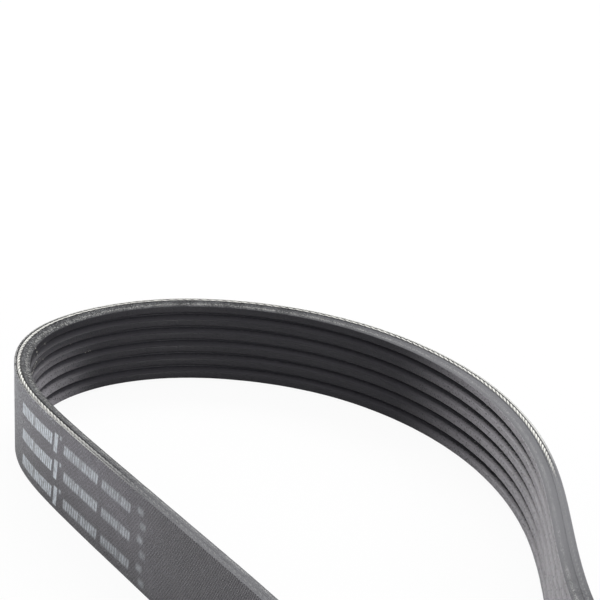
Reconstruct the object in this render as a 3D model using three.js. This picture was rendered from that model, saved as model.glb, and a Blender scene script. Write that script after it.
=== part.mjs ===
// A six-rib serpentine belt from the accessory drive of a car engine, standing on one cut edge.
// It is one piece of moulded rubber: a smooth back outside, six V ribs along the inside of the loop,
// and two knife-cut edges in which the outermost turn of the tensile cord lies bare.
// Millimetres, +Z up. The origin is on the floor, under the middle of the loop.
import * as THREE from "three";
import { mergeVertices, toCreasedNormals } from "three/addons/utils/BufferGeometryUtils.js";

// The belt's section. Depths are measured from the smooth back towards the rib tips.
const ribCount = 6;
const ribPitch = 3.56;
const ribDepth = 2.2;
const ribAngle = 40; // degrees between the two flanks of one groove
const ribTipRadius = 0.3;
const grooveRadius = 0.25; // at the bottom of each groove
const backEdgeRadius = 0.15;
const backThickness = 0.47; // from the back to the channel of the tensile cord
const cordDiameter = 0.86;
const cordChannelMargin = 0.1; // how far the channel opens beside the cord
const cordChannelDepth = 0.2; // how far the cord lies bare in each cut edge
const cushionThickness = 0.17; // from the cord's channel to the groove bottoms

// The loop's route along the cord, seen from above: guide points of a smooth closed curve.
// It runs from the far side over the left bend, the near strand, the near bend and the right strand.
const farLeftGuides = [[-38, 137], [-69, 109], [-68.5, 75]];
const nearStrandStart = [-59, 52];
const nearStrandHeading = -60.8; // degrees from +X; four guide points in line keep its middle straight
const nearStrandStep = 42.2;
const nearBendGuides = [[14.5, -93], [30, -117], [56, -117], [66, -90]];
const rightSideGuides = [[52.5, -55], [52.5, -11], [54.5, 37], [41.5, 86], [8.5, 126.5]];

// How finely the sweep is stepped: shorter steps where the belt bends.
const longestStep = 18;
const largestTurn = 7.5; // degrees
const finePerGuide = 60;
const cordArcSteps = 4;

const beltWidth = ribCount * ribPitch;
const cordRadius = cordDiameter / 2;
const cordDepth = backThickness + cordChannelMargin + cordRadius; // from the back to the cord's middle
const bodyThickness = cordDepth + cordRadius + cordChannelMargin + cushionThickness;
const beltThickness = bodyThickness + ribDepth;

// Rounds one corner of an outline: points on the arc that touches both of its straight sides.
function roundedCorner(before, corner, after, radius, arcSteps) {
  const toBefore = before.clone().sub(corner).normalize();
  const toAfter = after.clone().sub(corner).normalize();
  const halfAngle = Math.acos(THREE.MathUtils.clamp(toBefore.dot(toAfter), -1, 1)) / 2;
  const middle = toBefore.clone().add(toAfter).normalize();
  const centre = corner.clone().addScaledVector(middle, radius / Math.sin(halfAngle));
  const turn = Math.PI - 2 * halfAngle;
  const side = Math.sign(toBefore.cross(toAfter));
  const arc = [];
  for (let i = 0; i <= arcSteps; i++) {
    const swing = side * turn * (i / arcSteps - 0.5);
    const spoke = middle.clone().multiplyScalar(-radius).rotateAround(new THREE.Vector2(), -swing);
    arc.push(centre.clone().add(spoke));
  }
  return arc;
}

// The cord where it lies bare in a cut edge, as (depth, distance from the cut), between its channel's edges.
function bareCord() {
  const reach = Math.acos(1 - cordChannelDepth / cordRadius);
  const points = [[cordDepth - cordRadius - cordChannelMargin, 0]];
  for (let i = 0; i <= cordArcSteps; i++) {
    const swing = reach * ((2 * i) / cordArcSteps - 1);
    points.push([cordDepth + cordRadius * Math.sin(swing), cordRadius * (1 - Math.cos(swing))]);
  }
  points.push([cordDepth + cordRadius + cordChannelMargin, 0]);
  return points;
}

// The corners of the section before rounding, as (depth, height), anticlockwise with depth to the right.
function sectionCorners() {
  const flankSlope = Math.tan(THREE.MathUtils.degToRad(ribAngle / 2));
  const flankSine = Math.sin(THREE.MathUtils.degToRad(ribAngle / 2));
  const vDepth = beltThickness - ribDepth - grooveRadius * (1 / flankSine - 1); // where two flanks would meet
  const halfOpening = (beltThickness - vDepth) * flankSlope;
  const ledge = (bodyThickness - vDepth) * flankSlope; // half a groove bottom, left by the cut
  const corners = [];
  const add = (depth, height, radius = 0, arcSteps = 1) =>
    corners.push({ at: new THREE.Vector2(depth, height), radius, arcSteps });

  add(0, 0, backEdgeRadius);
  bareCord().forEach(([depth, cut]) => add(depth, cut));
  add(bodyThickness, 0);
  add(bodyThickness, ledge);
  for (let rib = 0; rib < ribCount; rib++) {
    add(beltThickness, rib * ribPitch + halfOpening, ribTipRadius);
    add(beltThickness, (rib + 1) * ribPitch - halfOpening, ribTipRadius);
    if (rib < ribCount - 1) add(vDepth, (rib + 1) * ribPitch, grooveRadius, 2);
  }
  add(bodyThickness, beltWidth - ledge);
  add(bodyThickness, beltWidth);
  bareCord()
    .reverse()
    .forEach(([depth, cut]) => add(depth, beltWidth - cut));
  add(0, beltWidth, backEdgeRadius);
  return corners;
}

function sectionOutline() {
  const corners = sectionCorners();
  const outline = [];
  corners.forEach((corner, i) => {
    const before = corners.at(i - 1).at;
    const after = corners[(i + 1) % corners.length].at;
    if (corner.radius > 0) {
      outline.push(...roundedCorner(before, corner.at, after, corner.radius, corner.arcSteps));
    } else {
      outline.push(corner.at);
    }
  });
  return outline;
}

// A closed uniform cubic B-spline: it follows its guide points smoothly without touching them.
class LoopSpline extends THREE.Curve {
  constructor(guides) {
    super();
    this.guides = guides;
  }

  getPoint(share, target = new THREE.Vector3()) {
    const count = this.guides.length;
    const place = (share % 1) * count;
    const leg = Math.floor(place);
    const w = place - leg;
    const pull = [(1 - w) ** 3, 3 * w ** 3 - 6 * w ** 2 + 4, -3 * w ** 3 + 3 * w ** 2 + 3 * w + 1, w ** 3];
    target.set(0, 0, 0);
    pull.forEach((p, k) => target.addScaledVector(this.guides[(leg + k) % count], p / 6));
    return target;
  }
}

function loopRoute() {
  const heading = THREE.MathUtils.degToRad(nearStrandHeading);
  const nearStrandGuides = [0, 1, 2, 3].map((k) => [
    nearStrandStart[0] + k * nearStrandStep * Math.cos(heading),
    nearStrandStart[1] + k * nearStrandStep * Math.sin(heading),
  ]);
  const guides = [...farLeftGuides, ...nearStrandGuides, ...nearBendGuides, ...rightSideGuides];
  return new LoopSpline(guides.map(([x, y]) => new THREE.Vector3(x, y, 0)));
}

// The places along the route at which the section stands, each with its outward direction.
function sweepStations(route) {
  const fineCount = route.guides.length * finePerGuide;
  const points = Array.from({ length: fineCount }, (_, i) => route.getPoint(i / fineCount));
  const directions = points.map((p, i) => points[(i + 1) % fineCount].clone().sub(points.at(i - 1)).normalize());
  const effort = [0];
  points.forEach((p, i) => {
    const next = (i + 1) % fineCount;
    const run = p.distanceTo(points[next]) / longestStep;
    const turn = THREE.MathUtils.radToDeg(directions[i].angleTo(directions[next])) / largestTurn;
    effort.push(effort[i] + run + turn);
  });
  const stationCount = Math.ceil(effort[fineCount]);
  const stations = [];
  let i = 0;
  for (let k = 0; k < stationCount; k++) {
    const wanted = (effort[fineCount] * k) / stationCount;
    while (effort[i + 1] <= wanted) i++;
    const share = (wanted - effort[i]) / (effort[i + 1] - effort[i]);
    const next = (i + 1) % fineCount;
    const point = points[i].clone().lerp(points[next], share);
    const along = directions[i].clone().lerp(directions[next], share).normalize();
    stations.push({ point, outward: new THREE.Vector3(along.y, -along.x, 0) });
  }
  return stations;
}

// The belt is turned as a round sleeve, as it is moulded, and then laid along the route of the loop.
function beltGeometry() {
  const route = loopRoute();
  const stations = sweepStations(route);
  const sleeveRadius = route.getLength() / (2 * Math.PI);
  const outline = sectionOutline();
  const closed = [outline[0], ...outline.toReversed()];
  const turned = closed.map((p) => new THREE.Vector2(sleeveRadius + cordDepth - p.x, p.y));
  const sleeve = new THREE.LatheGeometry(turned, stations.length);
  const position = sleeve.getAttribute("position");
  const place = new THREE.Vector3();
  for (let v = 0; v < position.count; v++) {
    const station = stations[Math.floor(v / turned.length) % stations.length];
    const { x, y } = turned[v % turned.length];
    place.copy(station.point).addScaledVector(station.outward, x - sleeveRadius);
    position.setXYZ(v, place.x, place.y, y);
  }
  sleeve.deleteAttribute("normal");
  sleeve.deleteAttribute("uv");
  return toCreasedNormals(mergeVertices(sleeve), THREE.MathUtils.degToRad(25));
}

const rubber = new THREE.MeshStandardMaterial({ color: 0x3b3a3d, roughness: 0.82, metalness: 0 });

const belt = new THREE.Mesh(beltGeometry(), rubber);
belt.name = "serpentine_belt";
belt.geometry.computeBoundingBox();
const middle = belt.geometry.boundingBox.getCenter(new THREE.Vector3());
belt.position.set(-middle.x, -middle.y, 0);

const serpentineBelt = new THREE.Group();
serpentineBelt.add(belt);

export default serpentineBelt;
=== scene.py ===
import bisect
import functools
import math
import random

import bmesh
import bpy
from mathutils import Matrix, Vector, noise


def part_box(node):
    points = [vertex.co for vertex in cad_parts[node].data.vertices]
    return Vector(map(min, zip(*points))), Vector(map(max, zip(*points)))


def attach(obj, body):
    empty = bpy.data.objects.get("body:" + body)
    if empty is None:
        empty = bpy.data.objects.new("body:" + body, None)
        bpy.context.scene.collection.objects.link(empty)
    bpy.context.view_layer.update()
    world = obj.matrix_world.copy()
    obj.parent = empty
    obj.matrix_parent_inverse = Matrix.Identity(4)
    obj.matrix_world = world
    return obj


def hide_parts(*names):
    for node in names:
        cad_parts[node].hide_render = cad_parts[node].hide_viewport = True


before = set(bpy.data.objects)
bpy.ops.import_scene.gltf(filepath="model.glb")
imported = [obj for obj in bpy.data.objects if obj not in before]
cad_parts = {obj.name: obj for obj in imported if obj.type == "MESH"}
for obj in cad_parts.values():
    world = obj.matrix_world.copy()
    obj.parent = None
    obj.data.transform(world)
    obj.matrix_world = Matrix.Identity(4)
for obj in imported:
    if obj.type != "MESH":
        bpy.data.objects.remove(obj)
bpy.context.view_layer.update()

mm = 0.001


# The ribbed belt
# A closed loop of black EPDM rubber with short fibres in it and a woven back. It is moulded as a round
# sleeve, ground to six V ribs and cut to width, and then lies in a loose loop that its own stiffness makes.

RIB_COUNT = 6
RIB_PITCH = 3.56 * mm
RIB_DEPTH = 2.2 * mm
RIB_FLANK = math.radians(20)
TIP_ROUNDING = 0.22 * mm
GROOVE_V = 0.48 * mm
GROOVE_ROUNDING = 0.8 * mm
BACK_EDGE_RADIUS = 0.15 * mm
BACK_THICKNESS = 0.47 * mm
CORD_RADIUS = 0.43 * mm
CHANNEL_MARGIN = 0.1 * mm
CHANNEL_DEPTH = 0.32 * mm
CHANNEL_LEAN = 0.06 * mm
CHANNEL_LIP_ROUNDING = 0.04 * mm
CHANNEL_FLOOR_ROUNDING = 0.06 * mm
CUSHION = 0.17 * mm
CUT_CORNER_ROUNDING = 0.05 * mm
LEDGE_ROUNDING = 0.06 * mm
CORD_DEPTH = BACK_THICKNESS + CHANNEL_MARGIN + CORD_RADIUS
BODY = CORD_DEPTH + CORD_RADIUS + CHANNEL_MARGIN + CUSHION
CHANNEL_END = BODY - CUSHION
THICKNESS = BODY + RIB_DEPTH
WIDTH = RIB_COUNT * RIB_PITCH
HALF_OPENING = (RIB_DEPTH + GROOVE_V) * math.tan(RIB_FLANK)
LEDGE = GROOVE_V * math.tan(RIB_FLANK)

# The loop's guide points in plan, in millimetres, from the near bend over the right and the far side.
NEAR_BEND = [(30, -117), (56, -117), (66, -90)]
RIGHT_SIDE = [(52.5, -55), (52.5, -11), (54.5, 37), (41.5, 86), (8.5, 126.5)]
FAR_LEFT = [(-38, 137), (-69, 109), (-68.5, 75)]
STRAND_START = Vector((-59, 52))
STRAND_HEADING = math.radians(-60.8)
STRAND_STEP = 42.2
STRAND_POINTS = 4
NEAR_ENTRY = [(14.5, -93)]

strand_along = Vector((math.cos(STRAND_HEADING), math.sin(STRAND_HEADING)))
near_strand = [STRAND_START + k * STRAND_STEP * strand_along for k in range(STRAND_POINTS)]
guides = [Vector(g) * mm for g in NEAR_BEND + RIGHT_SIDE + FAR_LEFT + near_strand + NEAR_ENTRY]


def spline_point(place):
    """The point of the closed cubic B-spline after that many guide points."""
    leg = math.floor(place)
    w = place - leg
    pull = ((1 - w) ** 3, 3 * w**3 - 6 * w**2 + 4, -3 * w**3 + 3 * w**2 + 3 * w + 1, w**3)
    return sum((p / 6 * guides[(leg + k) % len(guides)] for k, p in enumerate(pull)), Vector((0, 0)))


FINE_STEPS = 160
OUTLINE_STRIDE = 8

fine_count = len(guides) * FINE_STEPS
fine_points = [spline_point(i / FINE_STEPS) for i in range(fine_count + 1)]
fine_lengths = [0.0]
for before, after in zip(fine_points, fine_points[1:]):
    fine_lengths.append(fine_lengths[-1] + (after - before).length)
loop_length = fine_lengths[-1]
SLEEVE_RADIUS = loop_length / math.tau


@functools.cache
def along_route(length):
    """The cord line's point at that length, and the outward direction there."""
    length = length % loop_length
    i = min(bisect.bisect_right(fine_lengths, length) - 1, fine_count - 1)
    share = (length - fine_lengths[i]) / (fine_lengths[i + 1] - fine_lengths[i])
    behind = fine_points[(i + 1) % fine_count] - fine_points[(i - 1) % fine_count]
    ahead = fine_points[(i + 2) % fine_count] - fine_points[i]
    along = behind.lerp(ahead, share).normalized()
    return fine_points[i].lerp(fine_points[i + 1], share), Vector((along.y, -along.x))


back_points = [p + out * CORD_DEPTH for p, out in map(along_route, fine_lengths[:-1:OUTLINE_STRIDE])]
loop_low = Vector((min(p.x for p in back_points), min(p.y for p in back_points)))
loop_high = Vector((max(p.x for p in back_points), max(p.y for p in back_points)))
node_low, node_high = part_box("serpentine_belt")
loop_shift = (node_low.xy + node_high.xy - loop_low - loop_high) / 2


def laid(length, depth, height):
    """The place of a point of the belt: its length along the cord, depth from the back and height."""
    # Lengths are rounded, so that the route is worked out only once for all points of one section.
    point, outward = along_route(round(length, 7))
    place = point + loop_shift + outward * (CORD_DEPTH - depth)
    return Vector((place.x, place.y, height))


def sleeve_depth(co):
    """How deep a point of the round sleeve lies under its back."""
    return CORD_DEPTH + SLEEVE_RADIUS - co.xy.length


def sleeve_length(co):
    """How far round the sleeve a point lies, along the cord."""
    return math.atan2(co.y, co.x) % math.tau * SLEEVE_RADIUS


def spin_sleeve(bm, arcs, cuts):
    """Turns the section into the whole round sleeve, in arcs that are then cut finer."""
    bmesh.ops.spin(
        bm,
        geom=bm.verts[:] + bm.edges[:],
        cent=(0, 0, 0),
        axis=(0, 0, 1),
        angle=math.tau,
        steps=arcs,
        use_merge=True,
    )
    # An edge of the section lies on one spoke of the sleeve, so the cross product of its ends is nought.
    lengthwise = [e for e in bm.edges if abs(e.verts[0].co.xy.cross(e.verts[1].co.xy)) > 1e-6]
    bmesh.ops.subdivide_edges(bm, edges=lengthwise, cuts=cuts)
    half_arc = math.pi / arcs
    for vert in bm.verts:
        from_middle = math.atan2(vert.co.y, vert.co.x) % (2 * half_arc) - half_arc
        vert.co.xy *= math.cos(from_middle) / math.cos(half_arc)
    bmesh.ops.recalc_face_normals(bm, faces=bm.faces)


def lay_sleeve(bm):
    """Bends the round sleeve onto the loop's route; length and depth stay on it as the UV map "run"."""
    run = bm.loops.layers.uv.new("run")
    lengths = {v: sleeve_length(v.co) for v in bm.verts}
    depths = {v: sleeve_depth(v.co) for v in bm.verts}
    for face in bm.faces:
        longest = max(lengths[v] for v in face.verts)
        for loop in face.loops:
            wrapped = longest - lengths[loop.vert] > loop_length / 2
            loop[run].uv = (lengths[loop.vert] + wrapped * loop_length, depths[loop.vert])
    for vert in bm.verts:
        vert.co = laid(lengths[vert], depths[vert], vert.co.z)


def finished(name, bm, finishes):
    """Turns a bmesh into a piece that rides with the belt."""
    mesh = bpy.data.meshes.new(name)
    bm.to_mesh(mesh)
    bm.free()
    mesh.shade_smooth()
    for finish in finishes:
        mesh.materials.append(finish)
    piece = bpy.data.objects.new(name, mesh)
    bpy.context.scene.collection.objects.link(piece)
    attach(piece, "root")
    return piece


WIDEST_FACE = 1.0 * mm


def draw_section(bm):
    """The belt's section as one closed line: the back, the lower cut, the ribs and the upper cut."""
    # Each corner: its depth, its height, its rounding and the segments of that.
    lower = [
        (0, 0, BACK_EDGE_RADIUS, 3),
        (BACK_THICKNESS, 0, CHANNEL_LIP_ROUNDING, 2),
        (BACK_THICKNESS + CHANNEL_LEAN, CHANNEL_DEPTH, CHANNEL_FLOOR_ROUNDING, 1),
        (CHANNEL_END - CHANNEL_LEAN, CHANNEL_DEPTH, CHANNEL_FLOOR_ROUNDING, 1),
        (CHANNEL_END, 0, CHANNEL_LIP_ROUNDING, 2),
        (BODY, 0, CUT_CORNER_ROUNDING, 2),
        (BODY, LEDGE, LEDGE_ROUNDING, 2),
    ]
    ribs = []
    for rib in range(RIB_COUNT):
        ribs.append((THICKNESS, rib * RIB_PITCH + HALF_OPENING, TIP_ROUNDING, 3))
        ribs.append((THICKNESS, (rib + 1) * RIB_PITCH - HALF_OPENING, TIP_ROUNDING, 3))
        if rib < RIB_COUNT - 1:
            ribs.append((BODY - GROOVE_V, (rib + 1) * RIB_PITCH, GROOVE_ROUNDING, 5))
    upper = [(depth, WIDTH - height, *rounded) for depth, height, *rounded in reversed(lower)]
    corners = lower + ribs + upper
    back_radius = SLEEVE_RADIUS + CORD_DEPTH
    verts = [bm.verts.new((back_radius - depth, 0, height)) for depth, height, *_ in corners]
    bm.faces.new(verts)
    for vert, (_, _, rounding, segments) in zip(verts, corners):
        bmesh.ops.bevel(
            bm,
            geom=[vert],
            offset=rounding,
            offset_type="OFFSET",
            segments=segments,
            profile=0.5,
            affect="VERTICES",
            material=-1,
        )
    bmesh.ops.delete(bm, geom=bm.faces[:], context="FACES_ONLY")
    wide_edges = [e for e in bm.edges if e.calc_length() > WIDEST_FACE]
    bmesh.ops.subdivide_edges(bm, edges=wide_edges, cuts=1)


RIBS, CUT_EDGE, WOVEN_BACK = range(3)
# The cloth of the back reaches this deep round its edges, and a cut edge ends this far from a rib's tip.
CLOTH_WRAP = 0.1 * mm
TIP_MARGIN = 0.03 * mm


def zone(face):
    """Which of the belt's three surfaces a face of the sleeve belongs to."""
    middle = face.calc_center_median()
    edge = min(middle.z, WIDTH - middle.z)
    if sleeve_depth(middle) < CLOTH_WRAP:
        return WOVEN_BACK
    if edge < HALF_OPENING - TIP_MARGIN:
        return CUT_EDGE
    return RIBS


# The cord lies bare on the far side of the loop; towards the near bend it sinks into the rubber. A stretch
# of the belt is given by the lengths at which it starts, is full, fades and ends.
SUNK_RIGHT, RISES_RIGHT = 132 * mm, 152 * mm
SINKS_LEFT, SUNK_LEFT = 400 * mm, 445 * mm
BARE_STRETCH = (SUNK_RIGHT, RISES_RIGHT, SINKS_LEFT, SUNK_LEFT)


def bareness(length):
    """Goes from 1, where the cord lies bare, to 0."""
    left = min(max((length - SINKS_LEFT) / (SUNK_LEFT - SINKS_LEFT), 0), 1)
    right = min(max((RISES_RIGHT - length) / (RISES_RIGHT - SUNK_RIGHT), 0), 1)
    return 1 - max(left, right)


def waver(co, long_wave, short_wave, short_share):
    """Uneven noise about nought: a long wave, and a share of a short one."""
    return noise.noise(co / long_wave) + short_share * noise.noise(co / short_wave)


BELT_ARCS = 100
BELT_CUTS = 6
GROUND_DEPTH = 0.5 * mm
GRINDING = 0.05 * mm
GRINDING_WAVES = (3.5 * mm, 1.3 * mm, 0.6)
CUT_SKIN = 0.1 * mm
KNIFE_WAVER = 0.05 * mm
KNIFE_WAVES = (5 * mm, 1.6 * mm, 0.5)
CHANNEL_FILLING = 0.8

bm = bmesh.new()
draw_section(bm)
spin_sleeve(bm, BELT_ARCS, BELT_CUTS)
for face in bm.faces:
    face.material_index = zone(face)
for vert in bm.verts:
    if sleeve_depth(vert.co) > THICKNESS - GROUND_DEPTH:
        ground = GRINDING * (0.5 + 0.5 * waver(vert.co, *GRINDING_WAVES))
        vert.co.xy *= 1 + ground / vert.co.xy.length
    edge = min(vert.co.z, WIDTH - vert.co.z)
    inwards = 1 if vert.co.z < WIDTH / 2 else -1
    if edge > CUT_SKIN and abs(sleeve_depth(vert.co) - CORD_DEPTH) < CORD_RADIUS + CHANNEL_MARGIN:
        sunk = 1 - bareness(sleeve_length(vert.co))
        vert.co.z -= inwards * edge * CHANNEL_FILLING * sunk
    if edge < CUT_SKIN:
        vert.co.z += inwards * KNIFE_WAVER * max(0, 0.3 + 0.5 * waver(vert.co, *KNIFE_WAVES))
lay_sleeve(bm)


class Wire:
    """An output socket in a material: arithmetic on it adds Math nodes, and add() any other node."""

    def __init__(self, tree, socket=None):
        self.tree = tree
        self.socket = socket

    def add(self, kind, settings=None, sockets=None, out=0):
        """Adds a node: its settings first, and then the values or wires of its sockets."""
        node = self.tree.nodes.new(kind)
        for name, value in (settings or {}).items():
            setattr(node, name, value)
        for name, value in (sockets or {}).items():
            if isinstance(value, Wire):
                self.tree.links.new(value.socket, node.inputs[name])
            else:
                node.inputs[name].default_value = value
        return Wire(self.tree, node.outputs[out])

    def maths(self, operation, *values):
        return self.add("ShaderNodeMath", {"operation": operation}, dict(enumerate(values)))

    def __add__(self, other):
        return self.maths("ADD", self, other)

    def __sub__(self, other):
        return self.maths("SUBTRACT", self, other)

    def __rsub__(self, other):
        return self.maths("SUBTRACT", other, self)

    def __mul__(self, other):
        return self.maths("MULTIPLY", self, other)

    def __gt__(self, other):
        return self.maths("GREATER_THAN", self, other)

    def __lt__(self, other):
        return self.maths("LESS_THAN", self, other)

    def __or__(self, other):
        return self.maths("MAXIMUM", self, other)

    def __abs__(self):
        return self.maths("ABSOLUTE", self)

    def __floor__(self):
        return self.maths("FLOOR", self)

    __radd__ = __add__
    __rmul__ = __mul__


def rising(value, low, high):
    """Goes smoothly from 0 to 1 as the value goes from low to high."""
    return value.add(
        "ShaderNodeMapRange",
        {"interpolation_type": "SMOOTHSTEP"},
        {"Value": value, "From Min": low, "From Max": high},
    )


def within(value, reach, blur):
    """Is 1 where the value is nearer to nought than the reach, with a soft limit."""
    return 1 - rising(abs(value), reach - blur, reach + blur)


def along_stretch(length, stretch):
    """Is 1 on a stretch of the belt, with soft ends."""
    start, full, fades, end = stretch
    return rising(length, start, full) - rising(length, fades, end)


def mixed(share, first, second):
    """The first colour where the share is 0, and the second where it is 1."""
    return share.add("ShaderNodeMix", {"data_type": "RGBA"}, {0: share, 6: first, 7: second}, out=2)


def clouds(at, size, detail=2.0):
    """Cloudy noise about 0.5, with patches of that size."""
    return at.add("ShaderNodeTexNoise", None, {"Vector": at, "Scale": 1 / size, "Detail": detail})


def pits(at, spacing):
    """The distance to the nearest of many scattered points, in shares of their spacing."""
    return at.add("ShaderNodeTexVoronoi", None, {"Vector": at, "Scale": 1 / spacing})


def dice(*numbers):
    """A number from 0 to 1 that is thrown once for each set of whole numbers."""
    sockets = dict(zip("XYZ", numbers))
    at = numbers[0].add("ShaderNodeCombineXYZ", None, sockets)
    return at.add("ShaderNodeTexWhiteNoise", {"noise_dimensions": "3D"}, {"Vector": at})


def linear(red, green, blue):
    """A colour as written for a screen, 0 to 255, in the linear values that a shader takes."""
    shares = [v / 255 for v in (red, green, blue)]
    return tuple(s / 12.92 if s <= 0.04045 else ((s + 0.055) / 1.055) ** 2.4 for s in shares) + (1.0,)


def new_finish(name, **constants):
    """A new material with its constants, and the wire that its other nodes start from."""
    finish = bpy.data.materials.new(name)
    finish.use_nodes = True
    shader = finish.node_tree.nodes["Principled BSDF"]
    for socket, value in constants.items():
        shader.inputs[socket.replace("_", " ")].default_value = value
    return finish, Wire(finish.node_tree)


def feed(finish, **wires):
    """Joins wires to the sockets of the material's shader."""
    shader = finish.node_tree.nodes["Principled BSDF"]
    for socket, wire in wires.items():
        finish.node_tree.links.new(wire.socket, shader.inputs[socket.replace("_", " ")])


def relief(height, distance):
    """A bumpy surface, where a height from 0 to 1 stands for that distance."""
    return height.add("ShaderNodeBump", None, {"Height": height, "Distance": distance, "Strength": 1.0})


def belt_places(start):
    """Where a point lies on the belt: its place, its length and depth, and its height."""
    place = start.add("ShaderNodeTexCoord", out="Object")
    run = start.add("ShaderNodeUVMap", {"uv_map": "run"})
    length = run.add("ShaderNodeSeparateXYZ", None, {0: run}, out="X")
    depth = run.add("ShaderNodeSeparateXYZ", None, {0: run}, out="Y")
    height = place.add("ShaderNodeSeparateXYZ", None, {0: place}, out="Z")
    return place, length, depth, height


def on_sleeve(length, height, stretch):
    """The place on the round sleeve, where a pattern has no seam, drawn out along the length."""
    angle = length * (1 / SLEEVE_RADIUS)
    radius = SLEEVE_RADIUS / stretch
    cosine = angle.maths("COSINE", angle) * radius
    sine = angle.maths("SINE", angle) * radius
    return length.add("ShaderNodeCombineXYZ", None, {"X": cosine, "Y": sine, "Z": height})


# The ground ribs: black rubber with grinding streaks, pinholes and fibre flecks, its grooves and deep
# flanks lightened by painted fill light, and its faces lightened by painted sheen on the right and in the
# left bend.

# The groove and flank greys are painted fill light, the sheen grey is painted sheen, and the others are the
# rubber's own colours.
GROOVE_BLACK = linear(33, 33, 37)
GROOVE_FILL_GREY = linear(58, 58, 63)
FLANK_FILL_GREY = linear(75, 74, 79)
RIB_BLACK = linear(38, 37, 42)
SHEEN_GREY = linear(161, 158, 163)
FIBRE_GREY = linear(110, 106, 103)
GRIT_REACH = 1.5 * mm
STREAK_REACH = 0.5 * mm
STREAK_STRETCH = 14
PINHOLE_SPACING = 0.66 * mm
# Painted sheen on the right-hand side, for its reflection at a grazing view, comes in after the near bend
# and fades out on the far side.
RIGHT_SHEEN_STRETCH = (0.0, 45 * mm, 171 * mm, 229 * mm)
# Painted sheen lightens the ribs in the left bend too, most at the foot.
LEFT_SHEEN_LENGTH, LEFT_SHEEN_REACH, LEFT_SHEEN_BLUR = 344 * mm, 12 * mm, 16 * mm
LEFT_SHEEN_FOOT, LEFT_SHEEN_TOP = 3 * mm, 20 * mm

rib_finish, start = new_finish("ground_ribs", Specular_IOR_Level=0.4)
place, length, depth, height = belt_places(start)
streaks = clouds(on_sleeve(length, height + depth, STREAK_STRETCH), 0.16 * mm, 3)
speckle = clouds(place, 0.22 * mm, 3)
grit = clouds(place, 0.5 * mm, 3)
patches = clouds(place, 6 * mm, 3)

gritty_depth = depth + (grit - 0.5) * GRIT_REACH
out_of_groove = rising(gritty_depth, BODY + 0.3 * mm, BODY + 0.7 * mm)
sheen_faces = rising(gritty_depth, BODY + 1.15 * mm, BODY + 1.55 * mm)
# Painted fill light: the deep flanks are coloured lighter than the tips, for light that reaches into the
# grooves.
deep_fill_light = 1 - rising(depth, THICKNESS - 0.6 * mm, THICKNESS + 0.05 * mm)
on_tip = rising(depth + (streaks - 0.5) * STREAK_REACH, THICKNESS - 0.4 * mm, THICKNESS + 0.05 * mm)
pinholes = (1 - rising(pits(on_sleeve(length, height, 1), PINHOLE_SPACING), 0.26, 0.38)) * on_tip
flecks = rising(clouds(place, 0.13 * mm, 1), 0.66, 0.74) * out_of_groove
# Painted sheen on the rib faces, on the right-hand stretch and in the left bend, with the grooves left
# dark.
right_sheen = along_stretch(length, RIGHT_SHEEN_STRETCH)
left_sheen = within(length - LEFT_SHEEN_LENGTH, LEFT_SHEEN_REACH, LEFT_SHEEN_BLUR)
left_sheen = left_sheen * (1 - rising(height, LEFT_SHEEN_FOOT, LEFT_SHEEN_TOP))
painted_sheen = (right_sheen | left_sheen) * sheen_faces * (0.72 + 0.28 * rising(speckle + patches * 0.3, 0.4, 0.8))

# Painted fill light in the grooves and deep flanks, which the painted sheen stretch leaves dark.
groove = mixed(right_sheen, GROOVE_FILL_GREY, GROOVE_BLACK)
flank = mixed(deep_fill_light * (1 - right_sheen), RIB_BLACK, FLANK_FILL_GREY)
colour = mixed(out_of_groove, groove, flank)
colour = mixed(painted_sheen, colour, SHEEN_GREY)
colour = mixed(flecks * 0.45, colour, FIBRE_GREY)
colour = mixed(pinholes * 0.75, colour, GROOVE_BLACK)
feed(
    rib_finish,
    Base_Color=colour,
    Roughness=0.32 + 0.2 * speckle + 0.1 * patches,
    Normal=relief(streaks * 0.4 + speckle * 0.8 - pinholes, 0.05 * mm),
)


# The knife-cut edges: the ends of the woven back's threads, then grey torn rubber with fibres in it.

CUT_BLACK = linear(34, 34, 37)
CUT_GREY = linear(98, 99, 102)
SMOOTH_GREY = linear(126, 126, 130)
TORN_GREY = linear(168, 168, 165)
THREAD_WHITE = linear(226, 226, 221)
THREAD_SPACING = 0.62 * mm
THREAD_DEPTH = 0.24 * mm
THREADS_LOST = 0.3
RIDGE_HIGHLIGHT_DEPTH = 3.0 * mm
# Where the bare threads and the cord are cleanest, where the rubber is roughly torn or smoothly cut, and
# where the backing is pale.
CLEAN_STRETCH = (140 * mm, 160 * mm, 310 * mm, 350 * mm)
ROUGH_STRETCH = (300 * mm, 335 * mm, 385 * mm, 440 * mm)
SMOOTH_STRETCH_RIGHT = (50 * mm, 110 * mm, 200 * mm, 280 * mm)
SMOOTH_STRETCH_LEFT = (425 * mm, 470 * mm, 540 * mm, 590 * mm)
PALE_STRETCH = (380 * mm, 395 * mm, 415 * mm, 455 * mm)

cut_finish, start = new_finish("cut_edge", Specular_IOR_Level=0.35)
place, length, depth, height = belt_places(start)
speckle = clouds(place, 0.24 * mm, 4)
fine_speckle = clouds(place, 0.11 * mm, 2)
patches = clouds(place, 4 * mm, 2)
clumps = clouds(place, 0.8 * mm, 3)

bare = along_stretch(length, BARE_STRETCH)
clean = along_stretch(length, CLEAN_STRETCH)
rough = along_stretch(length, ROUGH_STRETCH)
smooth = along_stretch(length, SMOOTH_STRETCH_RIGHT) | along_stretch(length, SMOOTH_STRETCH_LEFT) * 0.6
pale = along_stretch(length, PALE_STRETCH)

torn = rising(speckle + (fine_speckle - 0.5) * 0.8 + (patches - 0.5) * 0.4, 0.4, 0.6)
flecks = rising(clouds(place, 0.55 * mm, 3), 0.57, 0.65) * (0.1 + 0.9 * rough)
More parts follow.
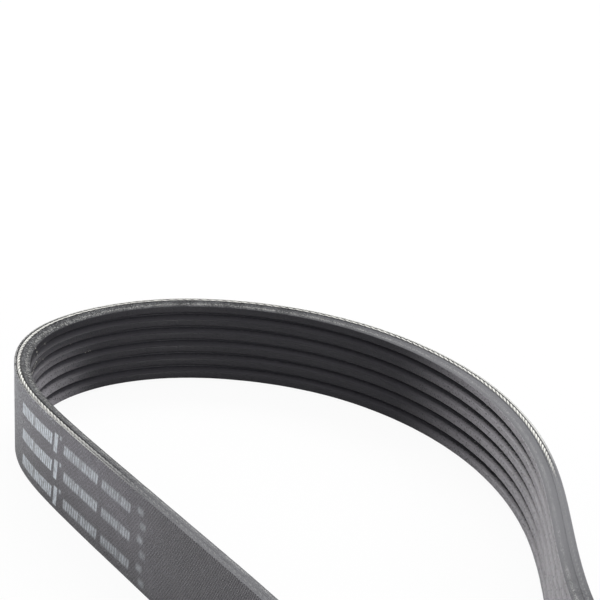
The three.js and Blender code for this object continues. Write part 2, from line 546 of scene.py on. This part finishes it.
# Painted highlight, with some worn fibres: a light line along the outermost flank, where the rib's edge
# catches light.
ridge_highlight = within(depth + (speckle - 0.5) * (0.5 * mm) - RIDGE_HIGHLIGHT_DEPTH, 0.3 * mm, 0.2 * mm)
# Painted shade in and beside the cord's channel, deepest where the cord lies bare in it.
in_channel = within(depth - CORD_DEPTH, CORD_RADIUS + CHANNEL_MARGIN + 0.02 * mm, 0.04 * mm)
beside_channel = within(depth - (CHANNEL_END + 0.1 * mm), 0.16 * mm, 0.08 * mm)
channel_shade = (in_channel | beside_channel) * (0.03 + 0.5 * bare) * (1 - 0.6 * clean)

backing = 1 - rising(depth, BACK_THICKNESS - 0.04 * mm, BACK_THICKNESS + 0.04 * mm)
cell = length * (round(loop_length / THREAD_SPACING) / loop_length)
off_thread = cell.maths("FRACT", cell) - 0.5
thread_ends = within(off_thread, 0.24, 0.12) * (dice(math.floor(cell)) > THREADS_LOST)
thread_ends = thread_ends * within(depth - THREAD_DEPTH, 0.15 * mm, 0.06 * mm)
frayed_backing = backing * clean * (thread_ends | rising(depth, 0.12 * mm, 0.22 * mm) * 0.8)

colour = mixed(torn, CUT_BLACK, CUT_GREY)
colour = mixed(rising(torn * speckle + ridge_highlight * 0.3, 0.5, 0.95) | flecks * 0.8, colour, TORN_GREY)
colour = mixed((1 - rising(clumps, 0.42, 0.58)) * rough * 0.75, colour, CUT_BLACK)
colour = mixed(smooth * (0.85 - 0.35 * torn), colour, SMOOTH_GREY)
colour = mixed(backing * pale * 0.6, colour, TORN_GREY)
colour = mixed(thread_ends * bare * 0.6 | frayed_backing, colour, THREAD_WHITE)
colour = mixed(channel_shade, colour, CUT_BLACK)
feed(
    cut_finish,
    Base_Color=colour,
    Roughness=0.62 + 0.25 * speckle,
    Normal=relief(speckle + fine_speckle * 0.5 + thread_ends * 0.4, 0.09 * mm),
)


# The woven back: rubbered cloth laid on the bias, with three rows of worn printed bars.

CLOTH_SHADE_BLACK = linear(31, 28, 34)
CLOTH_DARK = linear(35, 32, 38)
CLOTH_GREY = linear(105, 101, 111)
CLOTH_PALE = linear(149, 146, 156)
PRINT_AND_GLINT_PALE = linear(232, 240, 248)
WEAVE_PITCH = 0.95 * mm
# Painted glints, pale specks for highlights on the weave, lie faintly over the back, most in the left bend,
# and pale frayed fibre ends lie along a short piece of the upper edge after it; the near strand has painted
# shade further on.
GLINT_STRETCH = (290 * mm, 350 * mm, 372 * mm, 396 * mm)
TOP_GLINT_LENGTH, TOP_GLINT_REACH, TOP_GLINT_BLUR = 393 * mm, 10 * mm, 4 * mm
TOP_GLINT_START, TOP_GLINT_FULL = WIDTH - 1.3 * mm, WIDTH - 0.6 * mm
SHADED_STRETCH = (420 * mm, 475 * mm, 530 * mm, 590 * mm)
PRINT_ROWS = 3
PRINT_ROW_PITCH = 6.45 * mm
PRINT_ROW_START = 0.28 * mm
PRINT_ROW_SHIFT = -0.4 * mm
# Each group of bars: where it starts, how many, their spacing, half their height, their blur and strength.
PRINT_GROUPS = [
    (378.6 * mm, 17, 1.24 * mm, 1.5 * mm, 0.18 * mm, 1.0),
    (406.6 * mm, 15, 1.25 * mm, 1.25 * mm, 0.4 * mm, 0.78),
    (427.4 * mm, 12, 1.22 * mm, 1.15 * mm, 0.45 * mm, 0.62),
]
# Single marks: where the middle is, half its length, half its height, its rise, its blur and strength.
PRINT_MARKS = [
    (401.9 * mm, 1.0 * mm, 2.35 * mm, -0.1 * mm, 0.14 * mm, 0.95),
    (404.4 * mm, 0.5 * mm, 0.5 * mm, 2.0 * mm, 0.2 * mm, 0.6),
    (446.6 * mm, 1.3 * mm, 0.7 * mm, 1.4 * mm, 0.6 * mm, 0.4),
    (448.4 * mm, 1.3 * mm, 0.7 * mm, -1.6 * mm, 0.6 * mm, 0.32),
]
BAR_SLANT = 0.24
# Half a bar's length and how much longer it may be, in shares of the spacing; how much less high it may
# be; and the share of bars that are faint.
BAR_HALF, BAR_LONGER = 0.34, 0.14
BAR_LESS_HIGH = 0.15 * mm
BARS_FAINT = 0.14

back_finish, start = new_finish(
    "woven_back",
    Specular_IOR_Level=0.4,
    Sheen_Weight=0.4,
    Sheen_Roughness=0.4,
)
place, length, depth, height = belt_places(start)
turns = length * (round(loop_length / WEAVE_PITCH) * math.tau / loop_length)
climb = height * (math.tau / WEAVE_PITCH)
warp, weft = turns + climb, turns - climb
cloth = warp.maths("SINE", warp) * (0.6 + 0.4 * weft.maths("SINE", weft)) * 0.5 + 0.5
threads = clouds(on_sleeve(length, height, 5), 0.2 * mm, 3)
speckle = clouds(place, 0.16 * mm, 2)
patches = clouds(place, 7 * mm, 4)
colour = mixed(rising(cloth * 1.3 + threads * 0.4 + speckle * 0.3, 0.45, 1.25), CLOTH_DARK, CLOTH_GREY)
colour = mixed(rising(speckle * 0.7 + cloth * 0.3 + patches * 0.5, 0.72, 1.1) * 0.8, colour, CLOTH_PALE)

# Painted glints: pale specks that stand in for highlights on the weave, and frayed fibre ends at the upper
# edge.
left_bend = along_stretch(length, GLINT_STRETCH)
top_edge = within(length - TOP_GLINT_LENGTH, TOP_GLINT_REACH, TOP_GLINT_BLUR)
top_edge = top_edge * rising(height, TOP_GLINT_START, TOP_GLINT_FULL)
glints = rising(clouds(place, 0.45 * mm, 2), 0.5, 0.66) * (0.12 + 0.4 * left_bend | top_edge * 0.7)
colour = mixed(glints, colour, PRINT_AND_GLINT_PALE)

rows = (height - PRINT_ROW_START) * (1 / PRINT_ROW_PITCH)
row = math.floor(rows)
off_row = (rows - row - 0.5) * PRINT_ROW_PITCH
slant = length + row * PRINT_ROW_SHIFT - off_row * BAR_SLANT
printed = None
for first, count, spacing, half_height, blur, strength in PRINT_GROUPS:
    cells = (slant - first) * (1 / spacing)
    cell = math.floor(cells)
    off_bar = abs(cells - cell - 0.5) * spacing - dice(cell) * (BAR_LONGER * spacing)
    bar = 1 - rising(off_bar, BAR_HALF * spacing - blur, BAR_HALF * spacing + blur)
    second_throw = dice(cell, 5.0)
    bar = bar * within(off_row, half_height - second_throw * BAR_LESS_HIGH, blur)
    bar = bar * (1 - 0.5 * (second_throw < BARS_FAINT))
    group = bar * (cells > 0) * (cells < count) * strength
    printed = group if printed is None else printed | group
for middle, half_length, half_height, rise, blur, strength in PRINT_MARKS:
    mark = within(slant - middle, half_length, blur) * within(off_row - rise, half_height, blur)
    printed = printed | mark * strength
worn = rising(clouds(place, 1.1 * mm, 4) + (speckle - 0.5) * 0.6, 0.36, 0.52)
printed = printed * (rows < PRINT_ROWS) * (0.55 + 0.45 * worn) * (0.82 + 0.18 * cloth)

# Painted shade: the back is darker towards its foot and along the near strand.
dirt_and_shade = 0.7 * along_stretch(length, SHADED_STRETCH)
shade_at_foot = 0.55 - 0.55 * rising(height, 0.0, 0.9 * WIDTH)
colour = mixed(shade_at_foot | dirt_and_shade, colour, CLOTH_SHADE_BLACK)
colour = mixed(printed, colour, PRINT_AND_GLINT_PALE)
feed(
    back_finish,
    Base_Color=colour,
    Roughness=0.38 + 0.25 * speckle,
    Normal=relief(cloth + threads * 0.4 + speckle * 0.4, 0.2 * mm),
)

belt = finished("ribbed_belt", bm, [rib_finish, cut_finish, back_finish])
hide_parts("serpentine_belt")


# The bare tensile cords
# Polyester cord of three twisted strands, wound through the belt just under its back. The knife lays the
# outermost turn bare along each cut edge, where it sits in its channel and wanders a little.

STRANDS = 3
CORD_TWIST = 6.3 * mm
CORD_SIDES = 14
CORD_ARCS = 150
CORD_CUTS = 13
STRAND_RELIEF = 0.13
CORD_FRAY = 0.12
CORD_FRAY_SIZE = 0.7 * mm
CORD_WANDER = 0.05 * mm
CORD_WANDER_WAVE = 9 * mm
CORD_CREAM = linear(238, 237, 231)
CORD_GREY = linear(124, 124, 125)
CORD_CREASE_SHADE = linear(58, 56, 55)
# Dirt reaches the cord a little before it sinks.
UNSOILED_STRETCH = (SUNK_RIGHT, RISES_RIGHT, SINKS_LEFT - 25 * mm, SUNK_LEFT)

twist_count = round(loop_length / CORD_TWIST)

cord_finish, start = new_finish("tensile_cord", Specular_IOR_Level=0.3)
place, length, depth, height = belt_places(start)
across = depth - CORD_DEPTH
down = abs(height - WIDTH / 2) - (WIDTH / 2 - CORD_RADIUS)
around = down.maths("ARCTAN2", down, across)
turns = length * (twist_count * math.tau / loop_length)
lobe = around * STRANDS - turns * STRANDS
lobe = lobe.maths("COSINE", lobe)
fibres = clouds(on_sleeve(length, height + depth, 2), 0.14 * mm, 3)
patchy = rising(clouds(place, 9 * mm, 3) + (fibres - 0.5) * 0.6, 0.5, 0.75) * 0.6
dirt_and_shade = 1 - along_stretch(length, UNSOILED_STRETCH)
dirt_and_shade = dirt_and_shade | patchy * (1 - along_stretch(length, CLEAN_STRETCH))
uneven = (fibres - 0.5) * 1.4 + (clouds(place, 1.3 * mm, 2) - 0.5) * 1.6
# Painted shade in the creases between the twisted strands.
crease_shade = 1 - rising(lobe + uneven, -0.95, -0.15)
colour = mixed(dirt_and_shade, CORD_CREAM, CORD_GREY)
colour = mixed(crease_shade * (0.85 - 0.8 * dirt_and_shade), colour, CORD_CREASE_SHADE)
feed(cord_finish, Base_Color=colour, Roughness=0.7 + 0.2 * fibres, Normal=relief(fibres, 0.05 * mm))


def tensile_cord(name, middle, seed):
    """One turn of the cord round the loop, with its middle at that height."""
    bm = bmesh.new()
    side = Matrix.Translation((SLEEVE_RADIUS, 0, middle)) @ Matrix.Rotation(math.pi / 2, 4, "X")
    bmesh.ops.create_circle(bm, segments=CORD_SIDES, radius=CORD_RADIUS, matrix=side)
    spin_sleeve(bm, CORD_ARCS, CORD_CUTS)
    upwards = 1 if middle > WIDTH / 2 else -1
    for vert in bm.verts:
        angle = math.atan2(vert.co.y, vert.co.x) % math.tau
        outward = Vector((math.cos(angle), math.sin(angle)))
        across = SLEEVE_RADIUS - vert.co.xy.length
        down = (vert.co.z - middle) * upwards
        lobe = math.cos(STRANDS * (math.atan2(down, across) - twist_count * angle))
        fray = CORD_FRAY * min(0, noise.noise(vert.co / CORD_FRAY_SIZE))
        size = 1 - STRAND_RELIEF + STRAND_RELIEF * lobe + fray
        on_wave = Vector((outward.x, outward.y, seed)) * SLEEVE_RADIUS / CORD_WANDER_WAVE
        wander = CORD_WANDER * noise.noise(on_wave)
        vert.co.xy = outward * (SLEEVE_RADIUS - across * size + wander)
        vert.co.z = middle + (vert.co.z - middle) * size
    lay_sleeve(bm)
    return finished(name, bm, [cord_finish])


tensile_cord("tensile_cord_top", WIDTH - CORD_RADIUS, 0.4)
tensile_cord("tensile_cord_bottom", CORD_RADIUS, 2.9)


# Loose fibres and crumbs
# Short ends of the fibres in the rubber, which grinding and wear pull out along the ribs and the cut
# edge, and a few crumbs of rubber that cling beside them.

FIBRE_RADIUS = 0.055 * mm
FIBRE_PALE = linear(222, 220, 212)
FIBRE_LIFT = 0.01 * mm
FIBRE_MARGIN = 1 * mm
FIBRE_SIDES = 6
# Least and greatest length in millimetres, and thickness of a crumb in fibre radii.
FIBRE_LENGTHS = (0.3, 0.75)
CRUMB_LENGTHS = (0.2, 0.34)
CRUMB_THICKNESSES = (1.8, 3.0)
CRUMB_SHARE = 0.3
# Where they gather: length and height of the middle, spread along and across, and how many.
TUFTS = [
    (350 * mm, 17.6 * mm, 7 * mm, 2.2 * mm, 46),
    (328 * mm, 15.0 * mm, 2 * mm, 0.5 * mm, 5),
    (321 * mm, 11.5 * mm, 2 * mm, 0.5 * mm, 5),
    (182 * mm, 17.8 * mm, 8 * mm, 2.0 * mm, 16),
    (170 * mm, 6.0 * mm, 26 * mm, 4.5 * mm, 22),
]

fibre_finish, start = new_finish("loose_fibre", Specular_IOR_Level=0.3, Roughness=0.8)
place = start.add("ShaderNodeTexCoord", out="Object")
feed(fibre_finish, Base_Color=mixed(rising(clouds(place, 0.9 * mm), 0.4, 0.6), FIBRE_GREY, FIBRE_PALE))


def rib_surface(height):
    """The depth of the ribs' surface at that height."""
    from_groove = abs((height + RIB_PITCH / 2) % RIB_PITCH - RIB_PITCH / 2)
    return min(THICKNESS, BODY - GROOVE_V + from_groove / math.tan(RIB_FLANK))


thrown = random.Random(12)
bm = bmesh.new()
for length, height, spread_along, spread_across, count in TUFTS:
    for _ in range(count):
        at_length = thrown.gauss(length, spread_along / 2)
        at_height = min(max(thrown.gauss(height, spread_across / 2), FIBRE_MARGIN), WIDTH - FIBRE_MARGIN)
        foot = laid(at_length, max(rib_surface(at_height), BODY) + FIBRE_LIFT, at_height)
        tipped = Matrix.Rotation(thrown.uniform(0, math.tau), 4, "X")
        turned = Matrix.Rotation(thrown.uniform(0, 3), 4, "Z")
        crumb = thrown.random() < CRUMB_SHARE
        long = thrown.uniform(*(CRUMB_LENGTHS if crumb else FIBRE_LENGTHS)) * mm
        thick = thrown.uniform(*CRUMB_THICKNESSES) * FIBRE_RADIUS if crumb else FIBRE_RADIUS
        bmesh.ops.create_cone(
            bm,
            cap_ends=True,
            segments=FIBRE_SIDES,
            radius1=thick,
            radius2=thick * 0.5,
            depth=long,
            matrix=Matrix.Translation(foot) @ (tipped @ turned),
        )
finished("loose_fibres", bm, [fibre_finish])


# The floor and the studio
# A plain white floor that keeps a faint shadow of the belt, a white surround, soft lamps above, behind, in
# front and at both sides, and the photograph's camera.

FLOOR_SIDE = 8
FLOOR_PAPER = (0.8, 0.8, 0.8, 1)
BACKGROUND = (1, 1, 1, 1)
# The share of the lit floor that shows through its plain white, and of the surround that lights the belt.
SHADOW_SHARE = 0.06
SURROUND = 0.25

bpy.ops.mesh.primitive_plane_add(size=FLOOR_SIDE)
floor = bpy.context.object
floor.name = "floor"
paper, start = new_finish("floor_paper", Base_Color=FLOOR_PAPER, Roughness=0.9, Specular_IOR_Level=0.1)
seen = start.add("ShaderNodeLightPath", out="Is Camera Ray")
white = start.add("ShaderNodeEmission", None, {"Color": BACKGROUND, "Strength": 1.0})
lit = Wire(paper.node_tree, paper.node_tree.nodes["Principled BSDF"].outputs[0])
shown = start.add("ShaderNodeMixShader", None, {0: seen * (1 - SHADOW_SHARE), 1: lit, 2: white})
paper.node_tree.links.new(shown.socket, paper.node_tree.nodes["Material Output"].inputs["Surface"])
floor.data.materials.append(paper)

studio = bpy.data.worlds.new("studio")
studio.use_nodes = True
start = Wire(studio.node_tree)
seen = start.add("ShaderNodeLightPath", out="Is Camera Ray")
backdrop = studio.node_tree.nodes["Background"]
backdrop.inputs["Color"].default_value = BACKGROUND
studio.node_tree.links.new((seen * (1 - SURROUND) + SURROUND).socket, backdrop.inputs["Strength"])
bpy.context.scene.world = studio

# Each lamp: its place, its size, the point it faces and its power.
LAMPS = [
    ("back_lamp", (0.05, 0.9, 0.8), (0.8, 0.45), (0, 0, 0), 8.6),
    ("front_lamp", (0.45, -0.95, 0.45), (1.1, 0.4), (0, 0, 0), 6.0),
    ("window_lamp", (-0.6, 1.0, 0.28), (0.9, 0.35), (0, 0, 0.02), 4.2),
    ("top_lamp", (-0.1, 0.0, 1.1), (0.9, 0.9), (0, 0, 0), 2.4),
    ("right_lamp", (0.75, 0.35, 0.55), (0.8, 0.5), (0, 0, 0), 3.3),
    ("left_lamp", (-0.95, -0.3, 0.5), (0.9, 0.7), (0, 0, 0), 1.9),
]
for name, place, size, aim, power in LAMPS:
    lamp = bpy.data.lights.new(name, "AREA")
    lamp.shape = "RECTANGLE"
    lamp.size, lamp.size_y = size
    lamp.energy = power
    holder = bpy.data.objects.new(name, lamp)
    bpy.context.scene.collection.objects.link(holder)
    facing = (Vector(aim) - Vector(place)).to_track_quat("-Z", "Y").to_matrix().to_4x4()
    holder.matrix_world = Matrix.Translation(place) @ facing

CAMERA_PLACE = Vector((-1.5, -399.5)) * mm
CAMERA_HEIGHT = 193.27 * mm
CAMERA_PITCH = math.radians(17.8646)
CAMERA_ROLL = math.radians(1.8328)
FOCAL_PIXELS = 2157.48
FRAME_PIXELS = 600
SENSOR_WIDTH = 36
NEAREST_SEEN = 0.01

camera = bpy.data.objects.new("camera", bpy.data.cameras.new("camera"))
bpy.context.scene.collection.objects.link(camera)
camera.data.sensor_width = SENSOR_WIDTH
camera.data.lens = FOCAL_PIXELS * SENSOR_WIDTH / FRAME_PIXELS
camera.data.clip_start = NEAREST_SEEN
eye = CAMERA_PLACE + loop_shift
tilt = Matrix.Rotation(math.pi / 2 - CAMERA_PITCH, 4, "X") @ Matrix.Rotation(CAMERA_ROLL, 4, "Z")
camera.matrix_world = Matrix.Translation((eye.x, eye.y, CAMERA_HEIGHT)) @ tilt
bpy.context.scene.camera = camera

bpy.context.scene.view_settings.view_transform = "Standard"
